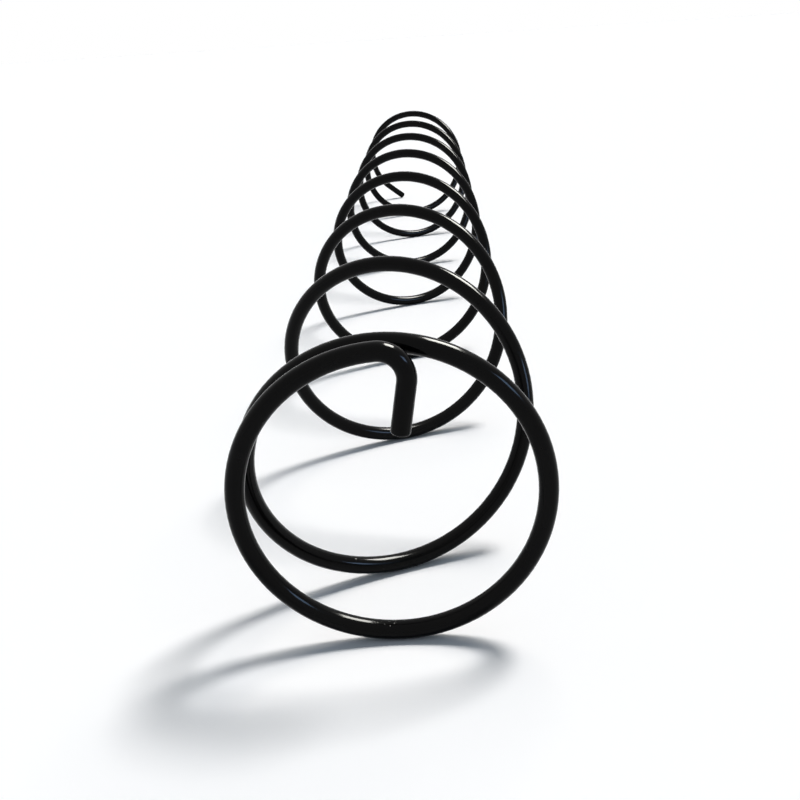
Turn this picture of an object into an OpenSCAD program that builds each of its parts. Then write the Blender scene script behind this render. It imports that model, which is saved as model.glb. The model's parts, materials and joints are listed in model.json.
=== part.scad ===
// Open coil spring of round black wire, lying on its side as in the photo.
// The coil's axis runs along Y with the tang end at -Y, Z is up, millimetres.
// The origin is on the floor, under the middle of the coil.

/* [Wire] */
// Diameter of the coated wire
wire_d = 4; // [2:0.1:6]
// Chamfer left on the rim of both cut ends
end_chamfer = 0.3; // [0.05:0.05:0.8]

/* [Coil] */
// Outside diameter of the coil
outer_d = 66; // [40:1:100]
// Distance along the axis from one open turn to the next
turn_spacing = 84; // [30:0.5:120]
// Whole turns before the last part turn, which ends low on the left
whole_turns = 8; // [3:1:11]
// Angle before its lowest point at which the last part turn runs out straight
straight_from_angle = 41.5; // [25:0.5:60]

/* [End turn] */
// Least clear gap between the tang's plane and the flat end turn behind it
end_gap = 0.4; // [0.1:0.1:5]
// Angle past the tang's bend over which the wire stays in the tang's plane
lead_in_angle = 9; // [5:1:60]
// Angle from the ring's top at which the end turn lies flat behind that plane
lead_to_angle = 186.5; // [120:0.5:230]
// Angle from the ring's top to the middle of the stretch where the turns open out
open_at_angle = 411.5; // [390:0.5:450]
// Angle over which the turns open out from flat to their full spacing
open_over_angle = 200; // [60:1:260]

/* [Tang] */
// Inside radius of the bend from the ring into the tang
bend_inner_r = 3.5; // [1.5:0.1:6]
// Radial reach of the tang from the ring's centreline to its tip
tang_reach = 16.4; // [12:0.1:25]
// Angle of the tang past the ring's top
tang_angle = 10; // [0:0.5:20]

/* [Hidden] */
wire_r = wire_d / 2;
coil_r = outer_d / 2 - wire_r;
axis_z = coil_r + wire_r;
bend_r = bend_inner_r + wire_r;
// angle between the tang and the place where its bend leaves the ring
bend_span = asin(bend_r / (coil_r - bend_r));
bend_from = bend_span - tang_angle;
lead_from = bend_from + lead_in_angle;
end_lead = wire_d + end_gap;
bend_end_r = sqrt(pow(coil_r - bend_r, 2) - pow(bend_r, 2));
tip_r = coil_r - tang_reach;
last = 360 * whole_turns + 180 - straight_from_angle;
helix_slope = atan(turn_spacing / (2 * PI * coil_r));
// how steeply the straight end runs down, and its length up to where its rim meets the floor
end_fall = sin(straight_from_angle) * cos(helix_slope);
end_drop = axis_z - coil_r * cos(straight_from_angle) - wire_r * sqrt(1 - end_fall * end_fall);
end_len = end_drop / end_fall + end_chamfer;
y_back = axial(last) + (end_len - end_chamfer) * sin(helix_slope) + wire_r * cos(helix_slope);
// middle of the coil's length, whose front is the tang's own front
y_mid = (y_back - wire_r) / 2;
// widest angle of one arc of wire on the open turns, on the end turn and between them
open_arc_angle = 45;
end_arc_angle = 30;
ease_arc_angle = 20;
// each arc stops a little short of the next one and a ball fills the joint
joint_gap = 0.2;
joint_over = 0.05;
wire_color = [0.05, 0.05, 0.055];
round_fn = 48;
arc_fn = 96;

// axial place of the wire's centreline at an angle from the ring's top:
// the lead past the tang, then the flat part of the end turn, then the open turns
function eased(t) = let (u = max(0, min(1, t))) u * u * (3 - 2 * u);
function ramp(t, w) = t < -w / 2 ? 0 : t > w / 2 ? t : pow(t + w / 2, 2) / (2 * w);
function axial(a) =
    end_lead * eased((a - lead_from) / (lead_to_angle - lead_from))
    + turn_spacing / 360 * ramp(a - open_at_angle, open_over_angle);

function inward(a) = [sin(a), 0, -cos(a)];
function ring_point(a, rad, y) = [0, y, axis_z] - rad * inward(a);
function wire_point(a) = ring_point(a, coil_r, axial(a));
function unit(v) = v / norm(v);
// direction of the wire, from two points a small angle to each side
function wire_dir(a) = unit(wire_point(a + 0.1) - wire_point(a - 0.1));
// evenly spaced angles from one to just short of another, no wider than asked
function steps(from, to, widest) =
    let (n = ceil((to - from) / widest - 0.001)) [for (i = [0:n - 1]) from + (to - from) * i / n];

ease_from = open_at_angle - open_over_angle / 2;
ease_to = open_at_angle + open_over_angle / 2;
stations = concat(
    steps(bend_from, ease_from, end_arc_angle), steps(ease_from, ease_to, ease_arc_angle),
    steps(ease_to, last, open_arc_angle), [last]);

// centre of the circle through three points
function circle_centre(a, b, c) =
    let (u = b - a, v = c - a, n = cross(u, v))
    a + (cross(n, u) * (v * v) + cross(v, n) * (u * u)) / (2 * (n * n));

// puts the X axis on u and the Z axis on n at the point c
module on_axes(u, n, c) {
    v = cross(n, u);
    multmatrix([[u[0], v[0], n[0], c[0]], [u[1], v[1], n[1], c[1]], [u[2], v[2], n[2], c[2]], [0, 0, 0, 1]])
        children();
}

// round wire along the circle through three points, short by a gap at each end
module wire_arc(a, b, c) {
    o = circle_centre(a, b, c);
    r = norm(a - o);
    n = cross(a - o, c - o);
    span = 2 * asin(norm(c - a) / (2 * r));
    gap = joint_gap / r * 180 / PI;
    on_axes((a - o) / r, unit(n), o) rotate([0, 0, gap])
        rotate_extrude(angle = span - 2 * gap, $fn = arc_fn)
            translate([r, 0]) circle(r = wire_r, $fn = round_fn);
}

// straight wire from p along d, past the joint there, with a chamfered rim at its cut end
module wire_end(p, d, side, len) {
    on_axes(side, d, p) {
        translate([0, 0, joint_gap])
            cylinder(r = wire_r, h = len - joint_gap - end_chamfer, $fn = round_fn);
        translate([0, 0, len - end_chamfer])
            cylinder(r1 = wire_r, r2 = wire_r - end_chamfer, h = end_chamfer, $fn = round_fn);
    }
}

// ball at the point p whose poles lie along the wire's direction d
module joint(p, d, side) {
    on_axes(side, d, p) sphere(r = wire_r + joint_over, $fn = round_fn);
}

module turns_of_wire() {
    for (i = [0:len(stations) - 2]) {
        a = stations[i];
        b = stations[i + 1];
        wire_arc(wire_point(a), wire_point((a + b) / 2), wire_point(b));
        joint(wire_point(b), wire_dir(b), inward(b));
    }
    // the straight end, which keeps the coil from rolling to its heavier side
    wire_end(wire_point(last), wire_dir(last), inward(last), end_len);
}

// bend from the ring into the tang, and the tang pointing at the coil's axis
module tang() {
    start = ring_point(bend_from, coil_r, 0);
    centre = ring_point(bend_from, coil_r - bend_r, 0);
    stop = ring_point(-tang_angle, bend_end_r, 0);
    along = inward(-tang_angle);
    joint(start, wire_dir(bend_from), inward(bend_from));
    wire_arc(start, centre + bend_r * unit(start + stop - 2 * centre), stop);
    joint(stop, along, [0, 1, 0]);
    wire_end(stop, along, [0, 1, 0], bend_end_r - tip_r);
}

module spring() {
    color(wire_color) translate([0, -y_mid, 0]) union() {
        tang();
        turns_of_wire();
    }
}

spring();
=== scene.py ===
"""A long open coil of round black coated wire, which lies on a white floor with its tang end
towards the camera."""
import json
import math

import bpy
import numpy as np
from mathutils import Matrix, Vector


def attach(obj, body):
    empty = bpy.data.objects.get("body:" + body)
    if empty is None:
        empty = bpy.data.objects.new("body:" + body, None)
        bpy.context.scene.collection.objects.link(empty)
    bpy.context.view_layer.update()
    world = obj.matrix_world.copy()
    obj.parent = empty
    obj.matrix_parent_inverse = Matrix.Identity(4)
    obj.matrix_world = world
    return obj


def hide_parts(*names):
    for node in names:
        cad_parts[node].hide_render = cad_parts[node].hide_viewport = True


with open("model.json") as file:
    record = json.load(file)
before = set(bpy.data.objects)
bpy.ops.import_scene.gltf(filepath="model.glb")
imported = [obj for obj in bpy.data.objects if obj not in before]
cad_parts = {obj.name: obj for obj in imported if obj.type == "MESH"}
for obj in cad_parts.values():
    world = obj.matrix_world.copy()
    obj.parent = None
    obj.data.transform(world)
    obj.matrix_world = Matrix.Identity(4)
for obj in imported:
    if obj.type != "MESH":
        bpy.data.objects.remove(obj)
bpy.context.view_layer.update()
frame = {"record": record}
NODE = "spring"
PIN = frame["record"]["mounts"][0]

# rings of the mesh on each straight end, round the tang's bend and round the rim of a cut end
STRAIGHT_RINGS = 14
BEND_RINGS = 26
RIM_RINGS = 7
# rings of a cut end's face, as shares of its radius, and how deep the face dishes in, as a share
# of the rim's own radius
FACE_RINGS = (0.85, 0.6, 0.35, 0.15)
DISH = 0.2

# how finely each pattern of the coating is cut up, in cells to a metre
RIPPLE_SCALE = 420.0
GRAIN_SCALE = 2600.0
PATCH_SCALE = 55.0
SPECK_SCALE = 210.0
SCUFF_SCALE = 1500.0
# the dull patches begin at a noise's middle, and how sharply they do
NOISE_MIDDLE = 0.5
PATCH_CONTRAST = 4.0
# how many times narrower a speck and a scuffed grain are than their cells
SPECK_NARROW = 9.0
SCUFF_NARROW = 2.6
# how much steeper than a plain cone the scuff fades out, so that its inner half is whole
SCUFF_STEEP = 2.0
# what the dull patches and the grain add to the dull colour's share and to the roughness
DULL_COLOUR, GRAIN_COLOUR = 0.8, 0.2
DULL_ROUGHNESS, GRAIN_ROUGHNESS = 0.06, 0.03
# the height that counts as 1 in the bump, and the same for the grain, which is a tenth as high
BUMP_HEIGHT = 0.0001
GRAIN_BUMP_HEIGHT = 0.001

# the camera's sensor in millimetres, and the nearest and farthest it sees in metres
SENSOR_WIDTH = 36.0
NEAREST = 0.01
FARTHEST = 50.0

bl_info = {
    "name": "Coil Wire Spring",
    "version": (1, 0, 0),
    "blender": (4, 5, 0),
    "location": "View3D > Sidebar > Coil",
    "description": "Makes a long open coil of coated wire with a tang, and the stage it lies on",
    "category": "Add Mesh",
}


class CoilSizes(bpy.types.PropertyGroup):
    """Sizes of the wire and of the coil it is wound into."""

    wire_radius: bpy.props.FloatProperty(
        name="Wire radius", description="Radius of the wire over its coating",
        default=PIN["dims"]["r_mm"] / 1000, min=0.0005, unit="LENGTH")
    coil_radius: bpy.props.FloatProperty(
        name="Coil radius", description="Distance from the coil's axis to the middle of the wire",
        default=0.031, min=0.005, unit="LENGTH")
    turn_spacing: bpy.props.FloatProperty(
        name="Turn spacing", description="Distance along the axis from one open turn to the next",
        default=0.084, min=0.005, unit="LENGTH")
    whole_turns: bpy.props.IntProperty(
        name="Whole turns", description="Whole turns before the last part turn", default=8, min=1)
    straight_from: bpy.props.FloatProperty(
        name="Straight from",
        description="Angle before its lowest point at which the last part turn runs straight",
        default=math.radians(41.5), unit="ROTATION", subtype="ANGLE")
    end_gap: bpy.props.FloatProperty(
        name="End gap",
        description="Least clear gap between the tang's plane and the flat end turn behind it",
        default=0.0004, min=0.0, unit="LENGTH")
    lead_in: bpy.props.FloatProperty(
        name="Lead in",
        description="Angle past the tang's bend over which the wire stays in the tang's plane",
        default=math.radians(9), unit="ROTATION", subtype="ANGLE")
    lead_to: bpy.props.FloatProperty(
        name="Lead to",
        description="Angle from the top at which the end turn lies flat behind that plane",
        default=math.radians(186.5), unit="ROTATION", subtype="ANGLE")
    open_at: bpy.props.FloatProperty(
        name="Open at", description="Middle of the stretch in which the turns open out",
        default=math.radians(411.5), unit="ROTATION", subtype="ANGLE")
    open_over: bpy.props.FloatProperty(
        name="Open over", description="Angle over which the turns open out to their full spacing",
        default=math.radians(200), unit="ROTATION", subtype="ANGLE")
    bend_inner: bpy.props.FloatProperty(
        name="Bend inside", description="Inside radius of the bend from the ring into the tang",
        default=0.0035, min=0.0005, unit="LENGTH")
    tang_reach: bpy.props.FloatProperty(
        name="Tang reach",
        description="Radial reach of the tang from the ring's centreline to its tip",
        default=0.0164, min=0.005, unit="LENGTH")
    tang_angle: bpy.props.FloatProperty(
        name="Tang angle", description="Angle of the tang past the ring's top",
        default=math.radians(10), unit="ROTATION", subtype="ANGLE")
    end_chamfer: bpy.props.FloatProperty(
        name="End chamfer",
        description="Chamfer on the rims of both cut ends, which the coating rounds over",
        default=0.0003, min=0.00005, unit="LENGTH")
    sides: bpy.props.IntProperty(
        name="Sides", description="Sides of the wire's round section", default=48, min=12)
    ring_step: bpy.props.FloatProperty(
        name="Ring step", description="Angle of the coil from one ring of the mesh to the next",
        default=math.radians(3.5), unit="ROTATION", subtype="ANGLE")


class CoatingLooks(bpy.types.PropertyGroup):
    """Colour and gloss of the black coating."""

    colour: bpy.props.FloatVectorProperty(
        name="Coating", description="Colour of the coating", default=(0.0012, 0.0012, 0.0013),
        size=3, subtype="COLOR")
    dusty: bpy.props.FloatVectorProperty(
        name="Dull coating", description="Colour of the coating where it is a little dull",
        default=(0.003, 0.003, 0.003), size=3, subtype="COLOR")
    gloss: bpy.props.FloatProperty(
        name="Roughness", description="Roughness of the coating at its glossiest", default=0.10,
        min=0.02, max=1.0)
    specular: bpy.props.FloatProperty(
        name="Specular", description="Strength of the coating's mirror reflection", default=0.07,
        min=0.0, max=1.0)
    peel: bpy.props.FloatProperty(
        name="Peel", description="Height of the coating's slow ripple", default=0.000004,
        unit="LENGTH")
    nib: bpy.props.FloatProperty(
        name="Nib", description="Height of the specks caught in the coating", default=0.00006,
        unit="LENGTH")
    scuff: bpy.props.FloatProperty(
        name="Scuff",
        description="Height of the rough grains on the inside of the end turn, over its foot",
        default=0.0001, unit="LENGTH")
    scuff_angle: bpy.props.FloatProperty(
        name="Scuff angle",
        description="Angle from the end turn's top to the middle of the rough place",
        default=math.radians(174.5), unit="ROTATION", subtype="ANGLE")
    scuff_size: bpy.props.FloatProperty(
        name="Scuff size",
        description="Distance from its middle over which the rough place fades out", default=0.003,
        unit="LENGTH")


class StageLooks(bpy.types.PropertyGroup):
    """The floor, the light and the camera."""

    floor_colour: bpy.props.FloatVectorProperty(
        name="Floor", description="Colour of the floor", default=(0.86, 0.87, 0.89), size=3,
        subtype="COLOR")
    floor_size: bpy.props.FloatProperty(
        name="Floor size", description="Width of the floor", default=40.0, unit="LENGTH")
    lamp_strength: bpy.props.FloatProperty(
        name="Lamp", description="Irradiance of the lamp high on the right, behind", default=1.93)
    lamp_colour: bpy.props.FloatVectorProperty(
        name="Lamp colour", description="Colour of that lamp", default=(1.0, 0.99, 0.985), size=3,
        subtype="COLOR")
    lamp_across: bpy.props.FloatProperty(
        name="Lamp across",
        description="How far to the right the lamp stands for each metre of height", default=0.428)
    lamp_behind: bpy.props.FloatProperty(
        name="Lamp behind", description="How far behind the lamp stands for each metre of height",
        default=0.427)
    lamp_angle: bpy.props.FloatProperty(
        name="Lamp size", description="Angular size of the lamp", default=math.radians(13.8),
        unit="ROTATION", subtype="ANGLE")
    glow_strength: bpy.props.FloatProperty(
        name="Glow", description="Irradiance of the wide soft glow round the lamp", default=1.02)
    glow_colour: bpy.props.FloatVectorProperty(
        name="Glow colour", description="Colour of the glow", default=(1.0, 0.92, 0.82), size=3,
        subtype="COLOR")
    glow_across: bpy.props.FloatProperty(
        name="Glow across",
        description="How far to the right the glow's middle is for each metre of height",
        default=0.363)
    glow_behind: bpy.props.FloatProperty(
        name="Glow behind",
        description="How far behind the glow's middle is for each metre of height", default=0.648)
    glow_angle: bpy.props.FloatProperty(
        name="Glow size", description="Angular size of the glow", default=math.radians(33.4),
        unit="ROTATION", subtype="ANGLE")
    softbox_strength: bpy.props.FloatProperty(
        name="Softbox",
        description="Brightness of the lamp's long soft front as the gloss shows it", default=100.0)
    softbox_colour: bpy.props.FloatVectorProperty(
        name="Softbox colour", description="Colour of the softbox", default=(1.0, 0.99, 0.93),
        size=3, subtype="COLOR")
    softbox_side: bpy.props.FloatProperty(
        name="Softbox side",
        description="Bearing of the softbox, from straight behind the coil round to the right",
        default=math.radians(50), unit="ROTATION", subtype="ANGLE")
    softbox_rise: bpy.props.FloatProperty(
        name="Softbox rise", description="Angle of the softbox's middle over the floor",
        default=math.radians(59.5), unit="ROTATION", subtype="ANGLE")
    softbox_twist: bpy.props.FloatProperty(
        name="Softbox twist",
        description="Angle by which the softbox's upper end leans to the right",
        default=math.radians(53), unit="ROTATION", subtype="ANGLE")
    softbox_width: bpy.props.FloatProperty(
        name="Softbox width", description="Width of the softbox", default=0.44, unit="LENGTH")
    softbox_length: bpy.props.FloatProperty(
        name="Softbox length", description="Length of the softbox", default=0.74, unit="LENGTH")
    window_strength: bpy.props.FloatProperty(
        name="Window",
        description="Brightness of the cool window low on the right as the gloss shows it",
        default=19.0)
    window_colour: bpy.props.FloatVectorProperty(
        name="Window colour", description="Colour of the window", default=(0.42, 0.64, 1.0), size=3,
        subtype="COLOR")
    window_side: bpy.props.FloatProperty(
        name="Window side",
        description="Bearing of the window, from straight behind the coil round to the right",
        default=math.radians(117), unit="ROTATION", subtype="ANGLE")
    window_rise: bpy.props.FloatProperty(
        name="Window rise", description="Angle of the window's middle over the floor",
        default=math.radians(24), unit="ROTATION", subtype="ANGLE")
    window_width: bpy.props.FloatProperty(
        name="Window width", description="Width of the window", default=0.45, unit="LENGTH")
    window_height: bpy.props.FloatProperty(
        name="Window height", description="Height of the window", default=0.34, unit="LENGTH")
    panel_distance: bpy.props.FloatProperty(
        name="Panel distance",
        description="Distance of the softbox and the window from the coil's tang end", default=1.5,
        unit="LENGTH")
    sky_strength: bpy.props.FloatProperty(
        name="Sky", description="Strength of the even light from all round", default=0.293)
    sky_colour: bpy.props.FloatVectorProperty(
        name="Sky colour", description="Colour of the even light", default=(0.73, 0.857, 1.0),
        size=3, subtype="COLOR")
    camera_back: bpy.props.FloatProperty(
        name="Camera back", description="Distance of the camera in front of the tang's plane",
        default=0.18465, unit="LENGTH")
    camera_across: bpy.props.FloatProperty(
        name="Camera across", description="Distance of the camera to the right of the coil's axis",
        default=0.010758, unit="LENGTH")
    camera_height: bpy.props.FloatProperty(
        name="Camera height", description="Height of the camera over the floor", default=0.119334,
        unit="LENGTH")
    camera_down: bpy.props.FloatProperty(
        name="Camera down", description="Angle by which the camera looks down", default=0.338837,
        unit="ROTATION", subtype="ANGLE")
    camera_turn: bpy.props.FloatProperty(
        name="Camera turn", description="Angle by which the camera is turned to the left",
        default=0.04259, unit="ROTATION", subtype="ANGLE")
    camera_lean: bpy.props.FloatProperty(
        name="Camera lean", description="Angle by which the camera leans over to the right",
        default=0.06476, unit="ROTATION", subtype="ANGLE")
    focal_length: bpy.props.FloatProperty(
        name="Focal length", description="Focal length in millimetres on a 36 mm wide sensor",
        default=46.94)


class Value:
    """A node's output in an expression: each operator adds the Math node that works it out."""

    def __init__(self, shader, socket):
        self.shader = shader
        self.socket = socket

    def maths(self, operation, *terms, clamp=False):
        settings = {"operation": operation, "use_clamp": clamp}
        return self.shader.node("ShaderNodeMath", settings, dict(enumerate(terms)))

    def __add__(self, other):
        return self.maths("ADD", self, other)

    def __radd__(self, other):
        return self.maths("ADD", other, self)

    def __sub__(self, other):
        return self.maths("SUBTRACT", self, other)

    def __rsub__(self, other):
        return self.maths("SUBTRACT", other, self)

    def __mul__(self, other):
        return self.maths("MULTIPLY", self, other)

    def __rmul__(self, other):
        return self.maths("MULTIPLY", other, self)

    def __truediv__(self, other):
        return self.maths("DIVIDE", self, other)

    def __rtruediv__(self, other):
        return self.maths("DIVIDE", other, self)

    def clamped(self):
        return self.maths("ADD", self, 0.0, clamp=True)

    def most(self, other):
        return self.maths("MAXIMUM", self, other)


class Shader:
    """A node tree that is being built."""

    def __init__(self, owner):
        owner.use_nodes = True
        self.tree = owner.node_tree
        self.tree.nodes.clear()

    def node(self, kind, settings=None, inputs=None, output=0):
        """Adds a node of a type, sets its settings, then its sockets to values or links, and gives
        one output."""
        made = self.tree.nodes.new(kind)
        for name, setting in (settings or {}).items():
            setattr(made, name, setting)
        for name, given in (inputs or {}).items():
            if isinstance(given, Value):
                self.tree.links.new(given.socket, made.inputs[name])
            else:
                made.inputs[name].default_value = given
        if not made.outputs:
            return made
        return Value(self, made.outputs[output])

    def blend(self, mask, first, second):
        """Goes from the first colour to the second as the mask goes from 0 to 1."""
        factor, start, stop, result = 0, 6, 7, 2
        return self.node("ShaderNodeMix", {"data_type": "RGBA"},
                         {factor: mask, start: (*first, 1.0), stop: (*second, 1.0)}, result)

    def seen(self):
        """1 where the camera, a reflection or a view through something looks, and 0 for the light
        itself."""
        rays = [self.node("ShaderNodeLightPath", output=name)
                for name in ("Is Camera Ray", "Is Glossy Ray", "Is Transmission Ray")]
        return rays[0].most(rays[1]).most(rays[2])

    def noise(self, place, scale, detail, roughness):
        """Soft noise, from 0 to 1, whose finer layers are weaker by the roughness."""
        inputs = {"Vector": place, "Scale": scale, "Detail": detail, "Roughness": roughness}
        return self.node("ShaderNodeTexNoise", {"noise_dimensions": "3D"}, inputs)

    def spots(self, place, scale, narrow):
        """A cone on each scattered point, 1 at its top and that much narrower than the cells."""
        away = self.node("ShaderNodeTexVoronoi", {"voronoi_dimensions": "3D", "feature": "F1"},
                         {"Vector": place, "Scale": scale, "Randomness": 1.0}, "Distance")
        return (1.0 - away * narrow).clamped()


def ring_places(angles, radius, along, axis_height):
    """Places round the coil's axis at angles from its top, growing to the left: across is minus
    the radius times the sine, up is the axis height plus the radius times the cosine."""
    across = -radius * np.sin(angles)
    up = axis_height + radius * np.cos(angles)
    return np.stack(np.broadcast_arrays(across, along, up), axis=-1)


def eased(part):
    """Smooth step: three times the square less twice the cube of the part, held to 0 and 1
    outside."""
    held = np.clip(part, 0.0, 1.0)
    return held * held * (3 - 2 * held)


def opened(past, over):
    """Nothing until half of the given angle before, the angle itself from half after, and a
    parabola between."""
    held = np.clip(past + over / 2, 0.0, over)
    return np.where(past > over / 2, past, held * held / (2 * over))


def end_turn_back(size):
    """Distance of the flat end turn behind the tang's plane: the wire's diameter and the gap."""
    return 2 * size.wire_radius + size.end_gap


def coil_advance(size, bend_from, angles):
    """Distance along the axis behind the tang's plane: an eased lead past the tang up to the flat
    end turn, then the open turns."""
    lead_from = bend_from + size.lead_in
    led = eased((angles - lead_from) / (size.lead_to - lead_from))
    turned = opened(angles - size.open_at, size.open_over)
    return end_turn_back(size) * led + size.turn_spacing / math.tau * turned


def along_line(start, stop, count):
    """Evenly spaced points on a straight line, both ends included."""
    return start + np.linspace(0.0, 1.0, count)[:, None] * (stop - start)


def wire_path(size):
    """The wire's centreline from the tang's tip to the plain end, with its outward normals, and
    the distance from the tang's plane to the plain end's farthest point.

    The tang is a straight radial line. The bend is a circle in the tang's plane that touches both
    the tang and the coil's round. The coil is a circle that moves along the axis by coil_advance.
    The end is the straight line along the coil's last direction whose rim just reaches the
    floor."""
    wire, radius = size.wire_radius, size.coil_radius
    axis_height = radius + wire
    bend = size.bend_inner + wire
    bend_span = math.asin(bend / (radius - bend))
    bend_from = bend_span - size.tang_angle
    bend_end = math.sqrt((radius - bend) ** 2 - bend ** 2)
    last = math.tau * size.whole_turns + math.pi - size.straight_from
    slope = math.atan(size.turn_spacing / (math.tau * radius))

    tip = ring_places(np.array(-size.tang_angle), radius - size.tang_reach, 0.0, axis_height)
    tang_stop = ring_places(np.array(-size.tang_angle), bend_end, 0.0, axis_height)
    centre = ring_places(np.array(bend_from), radius - bend, 0.0, axis_height)
    first = ring_places(np.array(bend_from), radius, 0.0, axis_height)

    tang_line = along_line(tip, tang_stop, STRAIGHT_RINGS)
    tang_out = np.broadcast_to((tang_stop - centre) / bend, tang_line.shape)

    # the bend turns from the tang's side to the ring's, by the angle between the two radii
    from_side, to_side = (tang_stop - centre) / bend, (first - centre) / bend
    turn = math.acos(float(from_side @ to_side))
    steps = np.linspace(0.0, turn, BEND_RINGS)[1:-1, None]
    bend_out = (np.sin(turn - steps) * from_side + np.sin(steps) * to_side) / math.sin(turn)

    coil_rings = math.ceil((last - bend_from) / size.ring_step) + 1
    angles = np.linspace(bend_from, last, coil_rings)
    coil_line = ring_places(angles, radius, coil_advance(size, bend_from, angles), axis_height)
    coil_out = ring_places(angles, 1.0, 0.0, 0.0)

    # the straight end falls by this much for each metre of its length, down to where its rim meets
    # the floor
    fall = math.sin(size.straight_from) * math.cos(slope)
    drop = axis_height - radius * math.cos(size.straight_from) - wire * math.sqrt(1 - fall * fall)
    length = drop / fall + size.end_chamfer
    direction = np.array([-math.cos(last) * math.cos(slope), math.sin(slope),
                          -math.sin(last) * math.cos(slope)])
    end_stop = coil_line[-1] + length * direction
    end_line = along_line(coil_line[-1], end_stop, STRAIGHT_RINGS)[1:]
    end_out = np.broadcast_to(coil_out[-1], end_line.shape)

    points = np.concatenate([tang_line, centre + bend * bend_out, coil_line, end_line])
    normals = np.concatenate([tang_out, bend_out, coil_out, end_out])
    back = end_line[-1, 1] - size.end_chamfer * math.sin(slope) + wire * math.cos(slope)
    return points, normals, back


def wire_directions(points):
    """Unit direction at each point of the centreline: the sum of the unit steps to its two
    neighbours."""
    step = np.diff(points, axis=0)
    step /= np.linalg.norm(step, axis=1)[:, None]
    direction = np.concatenate([step[:1], step[:-1] + step[1:], step[-1:]])
    return direction / np.linalg.norm(direction, axis=1)[:, None]


def rim_rings(wire, rim):
    """Depth and radius of the rings that close a cut end, from the wire's side to near the middle
    of its face: a quarter circle of the rim's radius, then a face that dishes in by a share of the
    rim times one less the square of the place's share of the face."""
    quarter = np.linspace(0.0, math.pi / 2, RIM_RINGS)
    depth = rim * (1 - np.sin(quarter))
    radius = wire - rim * (1 - np.cos(quarter))
    share = np.array(FACE_RINGS)
    dish = DISH * rim * (1 - share ** 2)
    return np.concatenate([depth, dish]), np.concatenate([radius, share * radius[-1]])


def wire_surface(size):
    """Rings of points round the wire's whole centreline: centre plus radius times (cosine of the
    angle round times the outward normal plus sine times the sideways one). Both ends shrink by
    rim_rings to a pole.

    Gives the rings as an array of ring, side and coordinate, the two poles, and the length along
    the wire at each ring."""
    points, normals, _ = wire_path(size)
    directions = wire_directions(points)
    # the round that touches the middle of the chamfer and both its neighbours
    rim = size.end_chamfer / (2 - math.sqrt(2))
    depth, radius = rim_rings(size.wire_radius, rim)

    # the first and last points carry their end's own rings, in from the cut by their depth
    ends, middle = len(depth), len(points) - 2
    carrier = np.clip(np.arange(1 - ends, middle + ends + 1), 0, middle + 1)
    inset = np.concatenate([depth[::-1], np.zeros(middle), -depth])
    radii = np.concatenate([radius[::-1], np.full(middle, size.wire_radius), radius])
    outward, forward = normals[carrier], directions[carrier]
    centres = points[carrier] + inset[:, None] * forward

    # the outward normal is squared up to the direction, and the sideways one completes the set
    outward = outward - forward * np.sum(outward * forward, axis=1)[:, None]
    outward /= np.linalg.norm(outward, axis=1)[:, None]
    sideways = np.cross(forward, outward)
    round_angle = np.linspace(0.0, math.tau, size.sides, endpoint=False)[None, :, None]
    offset = np.cos(round_angle) * outward[:, None] + np.sin(round_angle) * sideways[:, None]
    rings = centres[:, None] + radii[:, None, None] * offset

    dish = DISH * rim
    poles = np.stack([points[0] + dish * directions[0], points[-1] - dish * directions[-1]])
    steps = np.linalg.norm(np.diff(centres, axis=0), axis=1)
    return rings, poles, np.concatenate([[0.0], np.cumsum(steps)])


def tang_plane(size):
    """Place of the tang's plane along the axis, with the coil's whole length centred on the
    origin."""
    _, _, back = wire_path(size)
    return (size.wire_radius - back) / 2


def closed_tube(name, rings, poles, length):
    """A closed mesh from rings of points and a pole at each end. Faces join each ring to the next,
    and a fan of triangles joins the first and last ring to its pole. The UV map holds the place
    round the wire as a share of a turn, and the length along it in metres."""
    count, sides, _ = rings.shape
    vertices = np.concatenate([rings.reshape(-1, 3), poles])
    ring, side = np.meshgrid(np.arange(count - 1), np.arange(sides), indexing="ij")
    following = (side + 1) % sides
    this_ring, next_ring = ring * sides, (ring + 1) * sides
    quads = np.stack([this_ring + side, this_ring + following,
                      next_ring + following, next_ring + side], axis=-1)
    around = np.arange(sides)
    after = (around + 1) % sides
    first_pole, last_pole = count * sides, count * sides + 1
    last_ring = (count - 1) * sides
    first_fan = np.stack([np.full(sides, first_pole), after, around], axis=-1)
    last_fan = np.stack([np.full(sides, last_pole), last_ring + around, last_ring + after], axis=-1)
    corners = np.concatenate([quads.ravel(), first_fan.ravel(), last_fan.ravel()])
    quad_starts = np.arange(0, quads.size, quads.shape[-1])
    fan_starts = np.arange(quads.size, corners.size, first_fan.shape[-1])
    starts = np.concatenate([quad_starts, fan_starts])

    mesh = bpy.data.meshes.new(name)
    mesh.vertices.add(len(vertices))
    mesh.vertices.foreach_set("co", vertices.ravel())
    mesh.loops.add(len(corners))
    mesh.loops.foreach_set("vertex_index", corners.astype(np.int32))
    mesh.polygons.add(len(starts))
    mesh.polygons.foreach_set("loop_start", starts.astype(np.int32))
    mesh.update(calc_edges=True)
    mesh.polygons.foreach_set("use_smooth", np.ones(len(starts), dtype=bool))

    near, far = length[ring], length[ring + 1]
    turn = np.concatenate([
        np.stack([side, side + 1, side + 1, side], axis=-1).ravel(),
        np.stack([around + 0.5, around + 1.0, around], axis=-1).ravel(),
        np.stack([around + 0.5, around, around + 1.0], axis=-1).ravel()]) / sides
    place = np.concatenate([
        np.stack([near, near, far, far], axis=-1).ravel(),
        np.full(first_fan.size, length[0]), np.full(last_fan.size, length[-1])])
    uv = mesh.uv_layers.new(name="Wire")
    uv.data.foreach_set("uv", np.stack([turn, place], axis=-1).ravel())
    mesh.validate()
    return mesh


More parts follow.
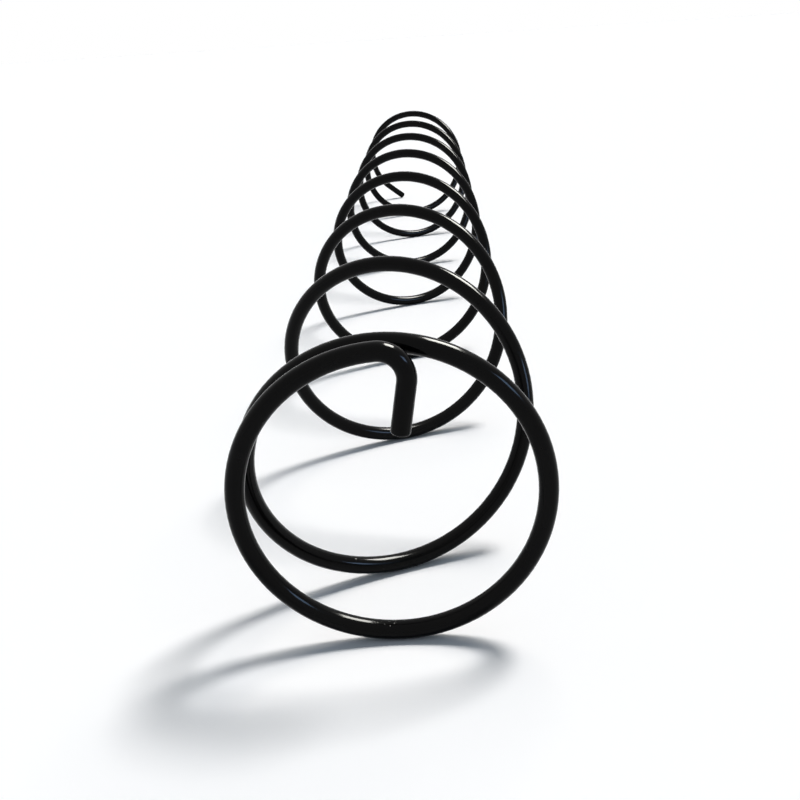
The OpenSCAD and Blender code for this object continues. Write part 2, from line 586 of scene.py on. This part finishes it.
def coating_material(looks, scuffed):
    """Glossy black coating: a slow ripple from a noise, finer grain in its gloss, faint dull
    patches, a few specks, each a cone about a scattered point, and finer cones that fade out round
    the scuffed place."""
    material = bpy.data.materials.new("black_coating")
    shader = Shader(material)
    place = shader.node("ShaderNodeTexCoord", output="Object")
    ripple = shader.noise(place, RIPPLE_SCALE, detail=2.0, roughness=0.5)
    grain = shader.noise(place, GRAIN_SCALE, detail=2.0, roughness=0.6)
    patches = shader.noise(place, PATCH_SCALE, detail=3.0, roughness=0.55)
    dull = ((patches - NOISE_MIDDLE) * PATCH_CONTRAST).clamped()
    specks = shader.spots(place, SPECK_SCALE, SPECK_NARROW)
    away = shader.node("ShaderNodeVectorMath", {"operation": "DISTANCE"},
                       {0: place, 1: scuffed}, "Value")
    near = ((1.0 - away / looks.scuff_size) * SCUFF_STEEP).clamped()
    scuff = near * shader.spots(place, SCUFF_SCALE, SCUFF_NARROW)

    colour = shader.blend(dull * DULL_COLOUR + grain * GRAIN_COLOUR, looks.colour, looks.dusty)
    roughness = looks.gloss + dull * DULL_ROUGHNESS + grain * GRAIN_ROUGHNESS
    height = (ripple * (looks.peel / BUMP_HEIGHT) + grain * (looks.peel / GRAIN_BUMP_HEIGHT)
              + specks * (looks.nib / BUMP_HEIGHT) + scuff * (looks.scuff / BUMP_HEIGHT))
    bump = shader.node("ShaderNodeBump", {},
                       {"Strength": 1.0, "Distance": BUMP_HEIGHT, "Height": height})
    surface = shader.node("ShaderNodeBsdfPrincipled", {}, {
        "Base Color": colour, "Roughness": roughness, "Normal": bump,
        "Specular IOR Level": looks.specular, "Metallic": 0.0})
    shader.node("ShaderNodeOutputMaterial", {}, {"Surface": surface})
    return material


def floor_material(looks):
    """White floor that is seen a little brighter than the light it throws back, and that keeps the
    shadows."""
    material = bpy.data.materials.new("white_floor")
    shader = Shader(material)
    colour = shader.blend(shader.seen(), looks.floor_colour, (1.0, 1.0, 1.0))
    surface = shader.node("ShaderNodeBsdfDiffuse", {}, {"Color": colour})
    shader.node("ShaderNodeOutputMaterial", {}, {"Surface": surface})
    return material


def white_surroundings(looks):
    """White where the camera or a reflection looks past the floor, and an even soft light
    everywhere else."""
    world = bpy.data.worlds.new("soft_white")
    bpy.context.scene.world = world
    shader = Shader(world)
    seen = shader.seen()
    strength = looks.sky_strength + seen * (1.0 - looks.sky_strength)
    colour = shader.blend(seen, looks.sky_colour, (1.0, 1.0, 1.0))
    surface = shader.node("ShaderNodeBackground", {}, {"Color": colour, "Strength": strength})
    shader.node("ShaderNodeOutputWorld", {}, {"Surface": surface})


def soft_lamp(name, strength, colour, across, behind, angle):
    """A far round lamp that shines down from the right and behind, and that the gloss doesn't
    show."""
    light = bpy.data.lights.new(name, "SUN")
    light.energy = strength
    light.color = colour
    light.angle = angle
    lamp = bpy.data.objects.new(name, light)
    lamp.rotation_euler = Vector((across, behind, 1.0)).to_track_quat("Z", "Y").to_euler()
    lamp.visible_glossy = False
    bpy.context.scene.collection.objects.link(lamp)


def soft_panel(name, strength, colour, side, rise, twist, width, length, distance, target):
    """A soft panel that faces the target from a bearing and a rise, turned in its own plane by the
    twist, and shows in the gloss alone: the far lamps and the sky stand for the light that it
    throws. Its power is its brightness times pi times its area."""
    light = bpy.data.lights.new(name, "AREA")
    light.shape = "RECTANGLE"
    light.size = width
    light.size_y = length
    light.energy = strength * math.pi * width * length
    light.color = colour
    way = Vector((math.sin(side) * math.cos(rise), math.cos(side) * math.cos(rise), math.sin(rise)))
    panel = bpy.data.objects.new(name, light)
    panel.location = Vector(target) + distance * way
    facing = way.to_track_quat("Z", "Y").to_matrix()
    panel.rotation_euler = (facing @ Matrix.Rotation(twist, 3, "Z")).to_euler()
    panel.visible_diffuse = False
    bpy.context.scene.collection.objects.link(panel)


def lay_floor(looks):
    """A square floor at height 0, which is part of the stage and not of the coil."""
    half = looks.floor_size / 2
    corners = [(-half, -half, 0.0), (half, -half, 0.0), (half, half, 0.0), (-half, half, 0.0)]
    mesh = bpy.data.meshes.new("floor")
    mesh.from_pydata(corners, [], [(0, 1, 2, 3)])
    floor = bpy.data.objects.new("floor", mesh)
    mesh.materials.append(floor_material(looks))
    bpy.context.scene.collection.objects.link(floor)


def set_camera(looks, front):
    """A camera in front of the tang's plane, turned to the left, then tipped down, then leaning
    over to the right."""
    lens = bpy.data.cameras.new("camera")
    lens.sensor_fit = "HORIZONTAL"
    lens.sensor_width = SENSOR_WIDTH
    lens.lens = looks.focal_length
    lens.clip_start = NEAREST
    lens.clip_end = FARTHEST
    camera = bpy.data.objects.new("camera", lens)
    camera.location = (looks.camera_across, front - looks.camera_back, looks.camera_height)
    turned = (Matrix.Rotation(looks.camera_turn, 3, "Z")
              @ Matrix.Rotation(math.pi / 2 - looks.camera_down, 3, "X")
              @ Matrix.Rotation(-looks.camera_lean, 3, "Z"))
    camera.rotation_euler = turned.to_euler()
    bpy.context.scene.collection.objects.link(camera)
    bpy.context.scene.camera = camera


class SPRING_OT_wire(bpy.types.Operator):
    """Make the whole wire: tang, end turn, open turns and plain end"""

    bl_idname = "spring.wire"
    bl_label = "Make the wire"

    def execute(self, context):
        size, looks = context.scene.coil_sizes, context.scene.coating_looks
        rings, poles, length = wire_surface(size)
        shift = np.array([0.0, tang_plane(size), 0.0])
        mesh = closed_tube("coated_wire", rings + shift, poles + shift, length)
        # the scuff is on the inside of the end turn, which lies flat behind the tang's plane
        inside = size.coil_radius - size.wire_radius
        axis_height = size.coil_radius + size.wire_radius
        scuffed = shift + ring_places(
            np.array(looks.scuff_angle), inside, end_turn_back(size), axis_height)
        wire = bpy.data.objects.new("coated_wire", mesh)
        context.scene.collection.objects.link(wire)
        mesh.materials.append(coating_material(looks, tuple(scuffed)))
        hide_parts(NODE)
        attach(wire, "root")
        return {"FINISHED"}


class SPRING_OT_stage(bpy.types.Operator):
    """Make the floor, the lights and the camera"""

    bl_idname = "spring.stage"
    bl_label = "Make the stage"

    def execute(self, context):
        size, looks = context.scene.coil_sizes, context.scene.stage_looks
        lay_floor(looks)
        white_surroundings(looks)
        soft_lamp("lamp", looks.lamp_strength, looks.lamp_colour,
                  looks.lamp_across, looks.lamp_behind, looks.lamp_angle)
        soft_lamp("glow", looks.glow_strength, looks.glow_colour,
                  looks.glow_across, looks.glow_behind, looks.glow_angle)

        front = tang_plane(size)
        target = (0.0, front, size.coil_radius)
        upright = 0.0
        soft_panel("softbox", looks.softbox_strength, looks.softbox_colour, looks.softbox_side,
                   looks.softbox_rise, looks.softbox_twist, looks.softbox_width,
                   looks.softbox_length, looks.panel_distance, target)
        soft_panel("window", looks.window_strength, looks.window_colour, looks.window_side,
                   looks.window_rise, upright, looks.window_width,
                   looks.window_height, looks.panel_distance, target)

        set_camera(looks, front)
        context.scene.view_settings.view_transform = "Standard"
        return {"FINISHED"}


class VIEW3D_PT_spring(bpy.types.Panel):
    """Lists what makes the coil and its stage"""

    bl_label = "Coil spring"
    bl_idname = "VIEW3D_PT_spring"
    bl_space_type = "VIEW_3D"
    bl_region_type = "UI"
    bl_category = "Coil"

    def draw(self, context):
        for operator in (SPRING_OT_wire, SPRING_OT_stage):
            self.layout.operator(operator.bl_idname)
        for group in ("coil_sizes", "coating_looks", "stage_looks"):
            settings = getattr(context.scene, group)
            for name in settings.__annotations__:
                self.layout.prop(settings, name)


CLASSES = (CoilSizes, CoatingLooks, StageLooks, SPRING_OT_wire, SPRING_OT_stage, VIEW3D_PT_spring)


def register():
    for kind in CLASSES:
        bpy.utils.register_class(kind)
    bpy.types.Scene.coil_sizes = bpy.props.PointerProperty(type=CoilSizes)
    bpy.types.Scene.coating_looks = bpy.props.PointerProperty(type=CoatingLooks)
    bpy.types.Scene.stage_looks = bpy.props.PointerProperty(type=StageLooks)


def unregister():
    del bpy.types.Scene.stage_looks
    del bpy.types.Scene.coating_looks
    del bpy.types.Scene.coil_sizes
    for kind in reversed(CLASSES):
        bpy.utils.unregister_class(kind)


def main():
    register()
    bpy.ops.spring.wire()
    bpy.ops.spring.stage()


if __name__ == "__main__":
    main()
